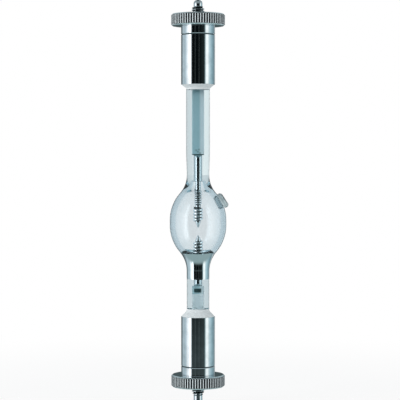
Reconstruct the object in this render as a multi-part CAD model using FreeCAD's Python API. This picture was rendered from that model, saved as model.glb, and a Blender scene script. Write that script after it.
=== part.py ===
"""Mercury short-arc lamp: a quartz bulb on two stems, with a threaded base and a knurled nut at each end.

Millimetres, +Z along the lamp. The origin is the centre of the lower base's shoulder, on which the
lower nut seats: the overall length and the height of the arc are both measured from that shoulder.

Both ends are drawn in one local frame: its origin is the end's own shoulder, and +Z runs from there
into the lamp, so the stud is on the negative side. The lower end stands as drawn. The upper end is
turned about Y and moved to the other end of the lamp.
"""
import FreeCAD, Part
import math
import os

Vector = FreeCAD.Vector

# Overall layout
SHOULDER_SPAN = 108.4  # from the lower shoulder to the upper one
ARC_DROP = 3.12  # of the lower electrode's tip below the belly of the bulb
ARC_GAP = 2.4

# Quartz bulb, blown in one piece with its stems: its outline is a short straight belly, then at each
# side an arc that closes the belly and a hollow arc that runs out on the stem
BELLY_HEIGHT = 46.57  # of the belly's lower edge above the lower shoulder
BELLY_LENGTH = 1.58
BULB_RADIUS = 8.78
BELLY_ARC = 12.8
LOWER_NECK_ARC = 9.15
UPPER_NECK_ARC = 8.4
LOWER_STEM_RADIUS = 3.48
UPPER_STEM_RADIUS = 3.68
UPPER_NECK_DRAW = 0.21  # how far the upper stem is drawn in, next to the bulb
UPPER_NECK_LENGTH = 0.9  # straight part of the drawn neck
UPPER_TAPER_LENGTH = 6.0  # from the drawn neck to the full stem
STEM_SEAT = 9.8  # length of stem inside each base sleeve

# Hollow of the bulb, which keeps an even wall round the belly and closes to a narrow neck
BULB_WALL = 1.6
HOLLOW_NECK_SPACE = 0.75  # between the electrode rod and the quartz where it closes on it
HOLLOW_NECK_ARC = 4.0
HOLLOW_NECK_LENGTH = 0.2  # straight, round the electrode, where the quartz closes on it
WINDING_END_SPACE = 0.2  # least space between the end of a winding and the end of the hollow

# Sealed-off exhaust tube, a thick button of quartz on the bulb's shoulder
BUTTON_RADIUS = 2.55
BUTTON_THICKNESS = 2.0
BUTTON_RISE = 6.1  # of its centre above the top of the belly
BUTTON_INSET = 1.18  # of its centre inside the belly's radius
BUTTON_TILT = 33.0  # degrees, of its axis above the horizontal
BUTTON_DIMPLE_RADIUS = 1.5
BUTTON_DIMPLE_DEPTH = 0.3

# Reflector coating on the lower neck
COATING_THICKNESS = 0.04
COATING_DROP = 8.57  # of its upper edge below the belly
COATING_LENGTH = 8.2

# Mercury charge, condensed as one drop in the lower end of the bulb
MERCURY_RADIUS = 0.8
MERCURY_CLEARANCE = 0.02

# Electrodes and their windings
ROD_RADIUS = 0.85
TIP_FLAT_RADIUS = 0.12
LOWER_TIP_LENGTH = 1.5
UPPER_TIP_LENGTH = 1.8
TIP_WIRE = 0.72
TIP_PITCH = 0.93
TIP_TURNS = 4.2
SHANK_WIRE = 0.38
SHANK_PITCH = 0.65
UPPER_SHANK_TURNS = 7.4
LOWER_SHANK_TURNS = 2.4
WINDING_SPACE = 0.3  # between the two windings of an electrode
WINDING_CLEARANCE = 0.02
TIP_WIRE_SIDES = 8
SHANK_WIRE_SIDES = 6

# Foil seals inside the stems
FOIL_WIDTH = 2.65
FOIL_THICKNESS = 0.05
FOIL_INSET = 5.1  # of its outer end inside the end of the stem
LOWER_FOIL_DROP = 18.82  # of its inner end below the belly
UPPER_FOIL_RISE = 20.25  # of its inner end above the belly
FOIL_LAP = 2.5  # length of rod welded to each end of a foil

# Lead-out rods, from the foils to the ends of the studs
LEAD_RADIUS = 0.6
LEAD_CLEARANCE = 0.05
LEAD_TUCK = 0.6  # how far the lead stays below the end of the solder

# Base sleeve and the cement that holds it on the stem
CEMENT_GAP = 1.07  # between the thicker of the two stems and the sleeve's bore
SLEEVE_WALL = 0.5
SLEEVE_LENGTH = 15.4
SLEEVE_RIM_BREAK = 0.08
SLEEVE_SEAM_BREAK = 0.1
LOWER_CEMENT_SLOPE = 46.4  # degrees, of the cone above the rim's plane
UPPER_CEMENT_SLOPE = 36.0
LOWER_CEMENT_FILLET = 1.6  # between the cone and the stem
UPPER_CEMENT_FILLET = 1.0
CEMENT_LIP = 0.1  # of the sleeve's rim left bare

# Base cap: collar, spigot and threaded stud, turned from one piece
COLLAR_LENGTH = 2.75
SEAM_CHAMFER_DEPTH = 0.2  # into the side
SEAM_CHAMFER_LENGTH = 0.34  # along the side
SPIGOT_LENGTH = 2.2
STUD_RADIUS = 2.0
LOWER_THREAD_LENGTH = 5.3
UPPER_THREAD_LENGTH = 5.47
LOWER_POINT_TAPER = 1.33
UPPER_POINT_TAPER = 0.62
POINT_RADIUS = 1.36
LOWER_POINT_LENGTH = 1.3
UPPER_POINT_LENGTH = 0.9

# Solder that seals the lead into the stud's end
SOLDER_DOME_HEIGHT = 0.95
SOLDER_NIB_COVER = 0.12  # of solder round the lead
SOLDER_NIB_LENGTH = 0.8

# Knurled nuts
NUT_RADIUS = 8.35
NUT_THICKNESS = 3.7
NUT_CHAMFER = 0.42
NUT_BORE_CLEARANCE = 0.05
NUT_BORE_CHAMFER = 0.3
KNURL_TEETH = 64
KNURL_DEPTH = 0.32
KNURL_CREST = 0.42  # share of the pitch that stays as the tooth's crest

FULL_TURN = 360.0
HALF_TURN = 180.0
AXIS = Vector(0, 0, 1)
ORIGIN = Vector(0, 0, 0)

# Sizes that follow from the ones above
SLEEVE_BORE = max(LOWER_STEM_RADIUS, UPPER_STEM_RADIUS) + CEMENT_GAP
BASE_RADIUS = SLEEVE_BORE + SLEEVE_WALL
SLEEVE_RIM = COLLAR_LENGTH + SLEEVE_LENGTH
STEM_END = SLEEVE_RIM - STEM_SEAT
UPPER_STEM_TOP = SHOULDER_SPAN - STEM_END
UPPER_NECK_RADIUS = UPPER_STEM_RADIUS - UPPER_NECK_DRAW
BELLY_TOP = BELLY_HEIGHT + BELLY_LENGTH
HOLLOW_RADIUS = BULB_RADIUS - BULB_WALL
HOLLOW_BELLY_ARC = BELLY_ARC - BULB_WALL
HOLLOW_NECK_RADIUS = ROD_RADIUS + HOLLOW_NECK_SPACE
LOWER_ELECTRODE_REACH = BELLY_HEIGHT - ARC_DROP
UPPER_ELECTRODE_REACH = SHOULDER_SPAN - LOWER_ELECTRODE_REACH - ARC_GAP
FOIL_OUTER_END = STEM_END + FOIL_INSET
COATING_START = BELLY_HEIGHT - COATING_DROP - COATING_LENGTH
SOLDER_NIB_RADIUS = LEAD_RADIUS + SOLDER_NIB_COVER


def point(radius, height):
    """A point of a profile, in the plane that is turned about the lamp's axis."""
    return Vector(radius, 0, height)


def line(start, end):
    return Part.LineSegment(start, end).toShape()


def lines(corners):
    """Straight edges from each corner to the next."""
    return [line(a, b) for a, b in zip(corners, corners[1:])]


def arc(centre, start, end):
    """The shorter arc about a centre between two points that lie equally far from it."""
    radius = (start - centre).Length
    middle = (start - centre) + (end - centre)
    return Part.Arc(start, centre + middle.normalize() * radius, end).toShape()


def turned(edges):
    """The solid swept by a closed profile in one turn about the lamp's axis."""
    face = Part.Face(Part.Wire(Part.__sortEdges__(edges)))
    return face.revolve(ORIGIN, AXIS, FULL_TURN)


def turned_polygon(*corners):
    """A turned solid with a straight-sided profile, given as (radius, height) corners."""
    points = [point(*corner) for corner in corners]
    return turned(lines(points + points[:1]))


def placed(shape, upper):
    """An end's piece, moved from its local frame to its own end of the lamp."""
    if not upper:
        return shape
    turn = FreeCAD.Rotation(Vector(0, 1, 0), HALF_TURN)
    shape = shape.copy()
    shape.Placement = FreeCAD.Placement(Vector(0, 0, SHOULDER_SPAN), turn).multiply(shape.Placement)
    return shape


def neck_rise(belly_radius, neck_radius, belly_arc, neck_arc):
    """How far from the belly's edge the two tangent arcs of one side reach along the lamp."""
    across = neck_radius + neck_arc - belly_radius + belly_arc
    return math.sqrt((belly_arc + neck_arc) ** 2 - across ** 2)


def side_arcs(belly_radius, neck_radius, belly_arc, neck_arc, height, way):
    """The arc that closes the belly and the tangent arc that runs out on the neck, and their end.

    way is 1 for the side above the belly and -1 for the side below it.
    """
    rise = neck_rise(belly_radius, neck_radius, belly_arc, neck_arc)
    belly_centre = point(belly_radius - belly_arc, height)
    neck_centre = point(neck_radius + neck_arc, height + way * rise)
    meeting = belly_centre + (neck_centre - belly_centre) * (belly_arc / (belly_arc + neck_arc))
    neck_end = point(neck_radius, neck_centre.z)
    edges = [
        arc(belly_centre, point(belly_radius, height), meeting),
        arc(neck_centre, meeting, neck_end),
    ]
    return edges, neck_end


def lower_outline(grow):
    """The blown outline below the belly, with every radius larger by grow."""
    return side_arcs(
        BULB_RADIUS + grow,
        LOWER_STEM_RADIUS + grow,
        BELLY_ARC + grow,
        LOWER_NECK_ARC - grow,
        BELLY_HEIGHT,
        -1,
    )


def upper_outline():
    return side_arcs(
        BULB_RADIUS,
        UPPER_NECK_RADIUS,
        BELLY_ARC,
        UPPER_NECK_ARC,
        BELLY_TOP,
        1,
    )


def hollow_outline(height, way):
    return side_arcs(
        HOLLOW_RADIUS,
        HOLLOW_NECK_RADIUS,
        HOLLOW_BELLY_ARC,
        HOLLOW_NECK_ARC,
        height,
        way,
    )


def winding_length(pitch, turns, wire):
    return pitch * turns + wire


def shank_start(sizes):
    """Where the fine winding begins, below the coarse one, from the end's own shoulder."""
    tip_start = sizes["reach"] - sizes["tip_length"]
    return tip_start - winding_length(TIP_PITCH, TIP_TURNS, TIP_WIRE) - WINDING_SPACE


def shank_end(sizes):
    return shank_start(sizes) - winding_length(SHANK_PITCH, sizes["shank_turns"], SHANK_WIRE)


def bulb_hollow():
    """The hollow, whose straight necks run on past the ends of the windings."""
    lower, foot = hollow_outline(BELLY_HEIGHT, -1)
    upper, head = hollow_outline(BELLY_TOP, 1)
    bottom = min(foot.z - HOLLOW_NECK_LENGTH, shank_end(LOWER_SIZES) - WINDING_END_SPACE)
    top = max(
        head.z + HOLLOW_NECK_LENGTH,
        SHOULDER_SPAN - shank_end(UPPER_SIZES) + WINDING_END_SPACE,
    )
    corners = [
        head,
        point(HOLLOW_NECK_RADIUS, top),
        point(0, top),
        point(0, bottom),
        point(HOLLOW_NECK_RADIUS, bottom),
        foot,
    ]
    belly = line(point(HOLLOW_RADIUS, BELLY_HEIGHT), point(HOLLOW_RADIUS, BELLY_TOP))
    return turned(lower + [belly] + upper + lines(corners))


def exhaust_button():
    """The sealed end of the exhaust tube: a round cushion with a shallow dimple in its outer face."""
    half = BUTTON_THICKNESS / 2
    flat = BUTTON_RADIUS - half
    rim = Part.Arc(point(flat, -half), point(BUTTON_RADIUS, 0), point(flat, half)).toShape()
    bottom = point(0, half - BUTTON_DIMPLE_DEPTH)
    ball = (BUTTON_DIMPLE_RADIUS ** 2 + BUTTON_DIMPLE_DEPTH ** 2) / (2 * BUTTON_DIMPLE_DEPTH)
    dimple = arc(bottom + AXIS * ball, point(BUTTON_DIMPLE_RADIUS, half), bottom)
    button = turned([
        line(point(0, -half), point(flat, -half)),
        rim,
        line(point(flat, half), point(BUTTON_DIMPLE_RADIUS, half)),
        dimple,
        line(bottom, point(0, -half)),
    ])
    lean = FreeCAD.Rotation(Vector(0, 1, 0), FULL_TURN / 4 - BUTTON_TILT)
    centre = Vector(BULB_RADIUS - BUTTON_INSET, 0, BELLY_TOP + BUTTON_RISE)
    button.Placement = FreeCAD.Placement(centre, lean)
    return button


def quartz_envelope(inserts):
    """Bulb, stems and exhaust button in one piece, hollow, and collapsed tightly on the sealed metal."""
    lower, foot = lower_outline(0)
    upper, head = upper_outline()
    neck_end = head.z + UPPER_NECK_LENGTH
    corners = [
        head,
        point(UPPER_NECK_RADIUS, neck_end),
        point(UPPER_STEM_RADIUS, neck_end + UPPER_TAPER_LENGTH),
        point(UPPER_STEM_RADIUS, UPPER_STEM_TOP),
        point(0, UPPER_STEM_TOP),
        point(0, STEM_END),
        point(LOWER_STEM_RADIUS, STEM_END),
        foot,
    ]
    belly = line(point(BULB_RADIUS, BELLY_HEIGHT), point(BULB_RADIUS, BELLY_TOP))
    body = turned(lower + [belly] + upper + lines(corners))
    body = body.fuse(exhaust_button())
    return body.cut([bulb_hollow()] + inserts)


def reflector_coating():
    """A thin skin that follows the outline of the lower neck."""
    skins = []
    for grow in (0, COATING_THICKNESS):
        arcs, foot = lower_outline(grow)
        corners = [
            foot,
            point(foot.x, COATING_START),
            point(0, COATING_START),
            point(0, BELLY_HEIGHT),
            point(BULB_RADIUS + grow, BELLY_HEIGHT),
        ]
        skins.append(turned(arcs + lines(corners)))
    shell = skins[1].cut(skins[0])
    band = Part.makeCylinder(2 * BULB_RADIUS, COATING_LENGTH, point(0, COATING_START))
    return shell.common(band)


def mercury_bead():
    """A drop that lies in the lower end of the hollow, held between its wall and the winding.

    It rests on whichever of the hollow's two arcs is higher under it.
    """
    reach = MERCURY_RADIUS + MERCURY_CLEARANCE
    out = ROD_RADIUS + WINDING_CLEARANCE + max(TIP_WIRE, SHANK_WIRE) + reach
    rise = neck_rise(HOLLOW_RADIUS, HOLLOW_NECK_RADIUS, HOLLOW_BELLY_ARC, HOLLOW_NECK_ARC)
    past_belly = out - HOLLOW_RADIUS + HOLLOW_BELLY_ARC
    past_neck = out - HOLLOW_NECK_RADIUS - HOLLOW_NECK_ARC
    on_belly = BELLY_HEIGHT - math.sqrt((HOLLOW_BELLY_ARC - reach) ** 2 - past_belly ** 2)
    on_neck = BELLY_HEIGHT - rise + math.sqrt((HOLLOW_NECK_ARC + reach) ** 2 - past_neck ** 2)
    return Part.makeSphere(MERCURY_RADIUS, Vector(0, out, max(on_belly, on_neck)))


def electrode(reach, foil_end, tip_length):
    """A tungsten rod with a blunt conical tip, its welded end ground flat to lie on the foil."""
    weld_end = foil_end - FOIL_LAP
    rod = turned_polygon(
        (0, weld_end),
        (ROD_RADIUS, weld_end),
        (ROD_RADIUS, reach - tip_length),
        (TIP_FLAT_RADIUS, reach),
        (0, reach),
    )
    return rod.cut(lap_block(weld_end, foil_end))


def lap_block(start, end):
    """The space in front of the foil's back face, cleared away where a rod is welded to the foil."""
    side = 4 * FOIL_WIDTH
    return Part.makeBox(side, side, end - start, Vector(-side / 2, -side, start))


def winding(wire, sides, pitch, turns, start):
    """A helical winding on the electrode rod, going down the rod from its start near the tip."""
    radius = ROD_RADIUS + WINDING_CLEARANCE + wire / 2
    height = pitch * turns
    helix = Part.makeHelix(pitch, height, radius)
    slope = Vector(0, math.tau * radius, pitch)
    corner_radius = wire / 2
    first = Vector(1, 0, 0)
    section = Part.makePolygon([
        Vector(radius, 0, 0)
        + FreeCAD.Rotation(slope, FULL_TURN * side / sides).multVec(first) * corner_radius
        for side in range(sides + 1)
    ])
    coil = Part.Wire(helix.Edges).makePipeShell([section], True, True)
    coil.translate(AXIS * (start - height - wire / 2))
    return coil


def foil(inner_end):
    """A ribbon of foil whose back face lies on the lamp's axis, against the flats of both rods."""
    corner = Vector(-FOIL_WIDTH / 2, -FOIL_THICKNESS, FOIL_OUTER_END)
    return Part.makeBox(FOIL_WIDTH, FOIL_THICKNESS, inner_end - FOIL_OUTER_END, corner)


def lead(stud_end):
    """The outer conductor, welded to the foil at one end and soldered into the stud at the other."""
    weld_end = FOIL_OUTER_END + FOIL_LAP
    start = -stud_end + LEAD_TUCK
    rod = Part.makeCylinder(LEAD_RADIUS, weld_end - start, point(0, start))
    return rod.cut(lap_block(FOIL_OUTER_END, weld_end))


def base_sleeve():
    """A plain tube with both of its outer edges broken, one at the seam and one at the rim."""
    return turned_polygon(
        (SLEEVE_BORE, COLLAR_LENGTH),
        (BASE_RADIUS - SLEEVE_SEAM_BREAK, COLLAR_LENGTH),
        (BASE_RADIUS, COLLAR_LENGTH + SLEEVE_SEAM_BREAK),
        (BASE_RADIUS, SLEEVE_RIM - SLEEVE_RIM_BREAK),
        (BASE_RADIUS - SLEEVE_RIM_BREAK, SLEEVE_RIM),
        (SLEEVE_BORE, SLEEVE_RIM),
    )


def cement(stem_radius, slope, fillet):
    """Cement packed between stem and sleeve, smoothed to a cone that fillets into the stem."""
    steep = math.radians(slope)
    upright = math.pi / 2
    lip = point(BASE_RADIUS - CEMENT_LIP, SLEEVE_RIM)
    run = lip.x - stem_radius
    corner = point(stem_radius, lip.z + run * math.tan(steep))
    tangent = fillet * math.tan((upright - steep) / 2)
    down_cone = point(math.cos(steep), -math.sin(steep))
    fillet_start = corner + down_cone * tangent
    run_out = corner + AXIS * tangent
    centre = run_out + Vector(fillet, 0, 0)
    corners = [
        run_out,
        point(stem_radius, STEM_END),
        point(SLEEVE_BORE, STEM_END),
        point(SLEEVE_BORE, SLEEVE_RIM),
        lip,
        fillet_start,
    ]
    return turned([arc(centre, fillet_start, run_out)] + lines(corners))


def base_cap(thread_length, point_taper, point_length):
    """Collar with a spigot that fits the sleeve and a stud bored through for the lead."""
    bore = LEAD_RADIUS + LEAD_CLEARANCE
    taper_end = thread_length + point_taper
    return turned_polygon(
        (bore, COLLAR_LENGTH + SPIGOT_LENGTH),
        (SLEEVE_BORE, COLLAR_LENGTH + SPIGOT_LENGTH),
        (SLEEVE_BORE, COLLAR_LENGTH),
        (BASE_RADIUS - SEAM_CHAMFER_DEPTH, COLLAR_LENGTH),
        (BASE_RADIUS, COLLAR_LENGTH - SEAM_CHAMFER_LENGTH),
        (BASE_RADIUS, 0),
        (STUD_RADIUS, 0),
        (STUD_RADIUS, -thread_length),
        (POINT_RADIUS, -taper_end),
        (POINT_RADIUS, -taper_end - point_length),
        (bore, -taper_end - point_length),
    )


def solder(stud_length, lead_piece):
    """A dome of solder on the stud's end, drawn out to a round nib over the lead."""
    step_in = POINT_RADIUS - SOLDER_NIB_RADIUS
    dome_arc = (step_in ** 2 + SOLDER_DOME_HEIGHT ** 2) / (2 * step_in)
    foot = point(POINT_RADIUS, -stud_length)
    shoulder = point(SOLDER_NIB_RADIUS, foot.z - SOLDER_DOME_HEIGHT)
    nib_centre = point(0, shoulder.z - SOLDER_NIB_LENGTH + SOLDER_NIB_RADIUS)
    nib_side = nib_centre + Vector(SOLDER_NIB_RADIUS, 0, 0)
    nib_end = nib_centre - AXIS * SOLDER_NIB_RADIUS
    bead = turned([
        arc(foot - Vector(dome_arc, 0, 0), foot, shoulder),
        line(shoulder, nib_side),
        arc(nib_centre, nib_side, nib_end),
        line(nib_end, point(0, foot.z)),
        line(point(0, foot.z), foot),
    ])
    return bead.cut(lead_piece)


def knurled_nut():
    """A round nut with straight V grooves round its rim, chamfered past their roots on both faces."""
    pitch = FULL_TURN / KNURL_TEETH
    half_crest = pitch * KNURL_CREST / 2
    rim = []
    for tooth in range(KNURL_TEETH):
        middle = tooth * pitch
        for angle, radius in (
            (middle - half_crest, NUT_RADIUS),
            (middle + half_crest, NUT_RADIUS),
            (middle + pitch / 2, NUT_RADIUS - KNURL_DEPTH),
        ):
            turn = math.radians(angle)
            rim.append(Vector(radius * math.cos(turn), radius * math.sin(turn), -NUT_THICKNESS))
    toothed = Part.Face(Part.makePolygon(rim + rim[:1])).extrude(AXIS * NUT_THICKNESS)
    bore = STUD_RADIUS + NUT_BORE_CLEARANCE
    blank = turned_polygon(
        (bore + NUT_BORE_CHAMFER, 0),
        (NUT_RADIUS - NUT_CHAMFER, 0),
        (NUT_RADIUS, -NUT_CHAMFER),
        (NUT_RADIUS, NUT_CHAMFER - NUT_THICKNESS),
        (NUT_RADIUS - NUT_CHAMFER, -NUT_THICKNESS),
        (bore + NUT_BORE_CHAMFER, -NUT_THICKNESS),
        (bore, NUT_BORE_CHAMFER - NUT_THICKNESS),
        (bore, -NUT_BORE_CHAMFER),
    )
    return toothed.common(blank)


def end_pieces(prefix, sizes, upper):
    """All the pieces of one end of the lamp, by name, in the lamp's frame."""
    stud_length = sizes["thread_length"] + sizes["point_taper"] + sizes["point_length"]
    solder_end = stud_length + SOLDER_DOME_HEIGHT + SOLDER_NIB_LENGTH
    tip_start = sizes["reach"] - sizes["tip_length"]
    lead_piece = lead(solder_end)
    local = {
        "electrode": electrode(sizes["reach"], sizes["foil_end"], sizes["tip_length"]),
        "tip_coil": winding(TIP_WIRE, TIP_WIRE_SIDES, TIP_PITCH, TIP_TURNS, tip_start),
        "shank_coil": winding(
            SHANK_WIRE, SHANK_WIRE_SIDES, SHANK_PITCH, sizes["shank_turns"], shank_start(sizes)
        ),
        "foil": foil(sizes["foil_end"]),
        "lead": lead_piece,
        "cement": cement(sizes["stem_radius"], sizes["cement_slope"], sizes["cement_fillet"]),
        "base_sleeve": base_sleeve(),
        "base_cap": base_cap(sizes["thread_length"], sizes["point_taper"], sizes["point_length"]),
        "solder": solder(stud_length, lead_piece),
        "nut": knurled_nut(),
    }
    return {prefix + "_" + name: placed(shape, upper) for name, shape in local.items()}


LOWER_SIZES = {
    "reach": LOWER_ELECTRODE_REACH,
    "tip_length": LOWER_TIP_LENGTH,
    "shank_turns": LOWER_SHANK_TURNS,
    "foil_end": BELLY_HEIGHT - LOWER_FOIL_DROP,
    "stem_radius": LOWER_STEM_RADIUS,
    "cement_slope": LOWER_CEMENT_SLOPE,
    "cement_fillet": LOWER_CEMENT_FILLET,
    "thread_length": LOWER_THREAD_LENGTH,
    "point_taper": LOWER_POINT_TAPER,
    "point_length": LOWER_POINT_LENGTH,
}
UPPER_SIZES = {
    "reach": UPPER_ELECTRODE_REACH,
    "tip_length": UPPER_TIP_LENGTH,
    "shank_turns": UPPER_SHANK_TURNS,
    "foil_end": SHOULDER_SPAN - BELLY_TOP - UPPER_FOIL_RISE,
    "stem_radius": UPPER_STEM_RADIUS,
    "cement_slope": UPPER_CEMENT_SLOPE,
    "cement_fillet": UPPER_CEMENT_FILLET,
    "thread_length": UPPER_THREAD_LENGTH,
    "point_taper": UPPER_POINT_TAPER,
    "point_length": UPPER_POINT_LENGTH,
}


def lamp():
    """Every piece of the lamp by name."""
    pieces = end_pieces("lower", LOWER_SIZES, False)
    pieces.update(end_pieces("upper", UPPER_SIZES, True))
    sealed = [
        pieces[end + "_" + name]
        for end in ("lower", "upper")
        for name in ("electrode", "foil", "lead")
    ]
    pieces["quartz_envelope"] = quartz_envelope(sealed)
    pieces["reflector_coating"] = reflector_coating()
    pieces["mercury_bead"] = mercury_bead()
    return pieces


os.makedirs("parts", exist_ok=True)
for node, shape in sorted(lamp().items()):
    shape.exportStep("parts/" + node + ".step")
    print(node, "solids", len(shape.Solids), "volume", round(shape.Volume, 3), "valid", shape.isValid())
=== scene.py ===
# %% [markdown]
# Mercury short-arc lamp
#
# The lamp is a quartz bulb on two stems, with a metal base on each stem. Its solids come from the
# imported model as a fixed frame: this script never moves them, it gives them their finish or puts a
# finer surface in their place. Everything is in metres in that frame: +Z runs along the lamp, the
# origin is the centre of the lower base's shoulder, and the viewer of the photograph stands on -Y.

# %% Load the frame
import math

import bmesh
import bpy
import numpy as np
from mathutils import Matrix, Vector


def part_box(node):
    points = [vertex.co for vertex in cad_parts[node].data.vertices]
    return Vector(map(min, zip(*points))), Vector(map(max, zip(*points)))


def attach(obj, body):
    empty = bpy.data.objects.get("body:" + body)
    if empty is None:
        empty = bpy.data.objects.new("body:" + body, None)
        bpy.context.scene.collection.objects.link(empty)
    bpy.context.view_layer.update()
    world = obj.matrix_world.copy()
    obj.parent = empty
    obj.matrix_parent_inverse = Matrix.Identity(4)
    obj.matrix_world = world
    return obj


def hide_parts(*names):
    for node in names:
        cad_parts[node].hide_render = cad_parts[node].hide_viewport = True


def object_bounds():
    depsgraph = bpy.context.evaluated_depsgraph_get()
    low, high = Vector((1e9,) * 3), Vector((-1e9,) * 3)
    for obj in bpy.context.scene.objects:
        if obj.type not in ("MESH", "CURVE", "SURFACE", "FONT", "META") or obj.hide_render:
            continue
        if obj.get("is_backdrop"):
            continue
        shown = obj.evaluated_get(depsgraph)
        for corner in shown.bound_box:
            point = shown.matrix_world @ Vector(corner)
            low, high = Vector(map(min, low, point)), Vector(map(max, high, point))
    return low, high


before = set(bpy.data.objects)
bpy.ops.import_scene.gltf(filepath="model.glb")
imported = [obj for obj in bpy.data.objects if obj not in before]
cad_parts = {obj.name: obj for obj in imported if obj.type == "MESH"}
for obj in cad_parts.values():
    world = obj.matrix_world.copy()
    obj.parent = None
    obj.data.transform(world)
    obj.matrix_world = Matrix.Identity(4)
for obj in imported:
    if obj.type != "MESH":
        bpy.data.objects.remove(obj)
CAD_BOX = [list(corner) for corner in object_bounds()]
MM = 0.001
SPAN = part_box("upper_nut")[0].z
print("nodes", len(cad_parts), "shoulder to shoulder", round(SPAN / MM, 2), "mm")

# %% [markdown]
# Camera
#
# The photograph is a long-lens view from a little above the lamp's middle. One pixel of it is 0.311
# mm at the lamp, so the lens follows from the distance, and the height from the row of pixels in which
# the lower shoulder lies. The lamp's axis is two columns left of the middle, so the camera stands that
# much to the right instead of turning.

# %% Camera
PHOTO_SIDE = 400
PIXEL = 0.311 * MM
SHOULDER_ROW = 374.95
AXIS_COLUMN = 198.05
CAMERA_DISTANCE = 0.48
CAMERA_RISE = 0.014
SENSOR = 36.0


def shown(name, data):
    """A new object in the scene."""
    thing = bpy.data.objects.new(name, data)
    bpy.context.scene.collection.objects.link(thing)
    return thing


def aimed(name, data, place, target):
    """A camera or lamp at a place, with its -Z axis turned to the target."""
    thing = shown(name, data)
    thing.location = place
    thing.rotation_mode = "QUATERNION"
    thing.rotation_quaternion = (Vector(target) - Vector(place)).to_track_quat("-Z", "Y")
    return thing


view_height = (SHOULDER_ROW - PHOTO_SIDE / 2) * PIXEL
view_side = (PHOTO_SIDE / 2 - AXIS_COLUMN) * PIXEL
lens = bpy.data.cameras.new("camera")
lens.sensor_width = SENSOR
lens.lens = SENSOR * CAMERA_DISTANCE / (PHOTO_SIDE * PIXEL)
lens.clip_start, lens.clip_end = 0.01, 20.0
stand = (view_side, -CAMERA_DISTANCE, view_height + CAMERA_RISE)
bpy.context.scene.camera = aimed("camera", lens, stand, (view_side, 0.0, view_height))
bpy.context.scene.view_settings.view_transform = "Standard"
print("lens", round(lens.lens, 1), "mm, aimed at height", round(view_height / MM, 1), "mm")

# %% [markdown]
# Shader sums as Python sums
#
# A finish is a small graph of nodes. Written out by hand it takes a dozen lines for one sum, so a
# socket is wrapped in a class whose operators add the Math nodes: 1 - mask then reads as it does on
# paper. Every other kind of node comes from one method, add.

# %% Nodes as values


class Value:
    """A socket of a node tree. The operators + - * / work on it, also with a plain number first."""

    def __init__(self, tree, socket):
        self.tree = tree
        self.socket = socket

    def __add__(self, other):
        return self.tree.maths("ADD", self, other)

    def __sub__(self, other):
        return self.tree.maths("SUBTRACT", self, other)

    def __rsub__(self, other):
        return self.tree.maths("SUBTRACT", other, self)

    def __mul__(self, other):
        return self.tree.maths("MULTIPLY", self, other)

    def __truediv__(self, other):
        return self.tree.maths("DIVIDE", self, other)

    __radd__ = __add__
    __rmul__ = __mul__


class Tree:
    """The node tree of one finish, cleared first."""

    def __init__(self, owner):
        owner.use_nodes = True
        self.nodes = owner.node_tree.nodes
        self.links = owner.node_tree.links
        self.nodes.clear()

    def add(self, kind, settings=None, inputs=None, output=0):
        """A new node: its settings first, then a value or a link for each named or numbered socket.

        Colours are given as three numbers, and the fourth that a colour socket needs is added here.
        """
        node = self.nodes.new(kind)
        for name, value in (settings or {}).items():
            if name == "stops":
                self.fill_ramp(node.color_ramp, value)
            else:
                setattr(node, name, value)
        for name, value in (inputs or {}).items():
            socket = node.inputs[name]
            if isinstance(value, Value):
                self.links.new(value.socket, socket)
            else:
                socket.default_value = (*value, 1.0) if socket.type == "RGBA" else value
        return Value(self, node.outputs[output]) if node.outputs else node

    @staticmethod
    def fill_ramp(ramp, stops):
        while len(ramp.elements) < len(stops):
            ramp.elements.new(1.0)
        for element, (place, colour) in zip(ramp.elements, stops):
            element.position = place
            element.color = (*colour, 1.0)

    def maths(self, operation, first, second=0.0):
        return self.add("ShaderNodeMath", {"operation": operation}, {0: first, 1: second})

    def vector(self, operation, first, second, output="Vector"):
        inputs = {0: first, 1: second}
        return self.add("ShaderNodeVectorMath", {"operation": operation}, inputs, output)

    def place(self):
        """The point that is shaded, in metres in the lamp's frame."""
        return self.add("ShaderNodeTexCoord", output="Object")

    def part(self, place, axis):
        """One coordinate of a place."""
        return self.add("ShaderNodeSeparateXYZ", {}, {0: place}, axis)

    def stretched(self, place, factors):
        """Coordinates multiplied along each axis, which draws a pattern out along the small ones."""
        return self.vector("MULTIPLY", place, factors)

    def from_axis(self, place):
        """How far a place lies from the lamp's axis: the length of its x and y."""
        return self.vector("LENGTH", self.stretched(place, (1.0, 1.0, 0.0)), (0.0, 0.0, 0.0), "Value")

    def mix(self, mask, first, second):
        """The first colour where the mask is 0 and the second where it is 1."""
        inputs = {0: mask, 6: first, 7: second}
        return self.add("ShaderNodeMix", {"data_type": "RGBA"}, inputs, output=2)

    def step(self, value, low, high, first=0.0, second=1.0):
        """Goes smoothly from the first number to the second while the value goes from low to high."""
        inputs = {0: value, 1: low, 2: high, 3: first, 4: second}
        return self.add("ShaderNodeMapRange", {"interpolation_type": "SMOOTHSTEP"}, inputs)

    def band(self, value, low, high, edge):
        """1 while the value lies between low and high, and 0 outside, with edges of a given softness."""
        inside = self.step(value, low - edge, low + edge)
        return inside * self.step(value, high - edge, high + edge, 1.0, 0.0)

    def noise(self, place, scale, detail=2.0, roughness=0.5):
        """Random patches, as many to the metre as the scale says."""
        inputs = {"Vector": place, "Scale": scale, "Detail": detail, "Roughness": roughness}
        return self.add("ShaderNodeTexNoise", {}, inputs)

    def streaks(self, place, factors, detail):
        """Noise that is drawn out along the axes with small factors."""
        return self.noise(self.stretched(place, factors), 1.0, detail)

    def bump(self, height, distance, strength):
        inputs = {"Height": height, "Distance": distance, "Strength": strength}
        return self.add("ShaderNodeBump", {}, inputs)


WHITE = (1.0, 1.0, 1.0)
print("node helpers ready")

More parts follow.
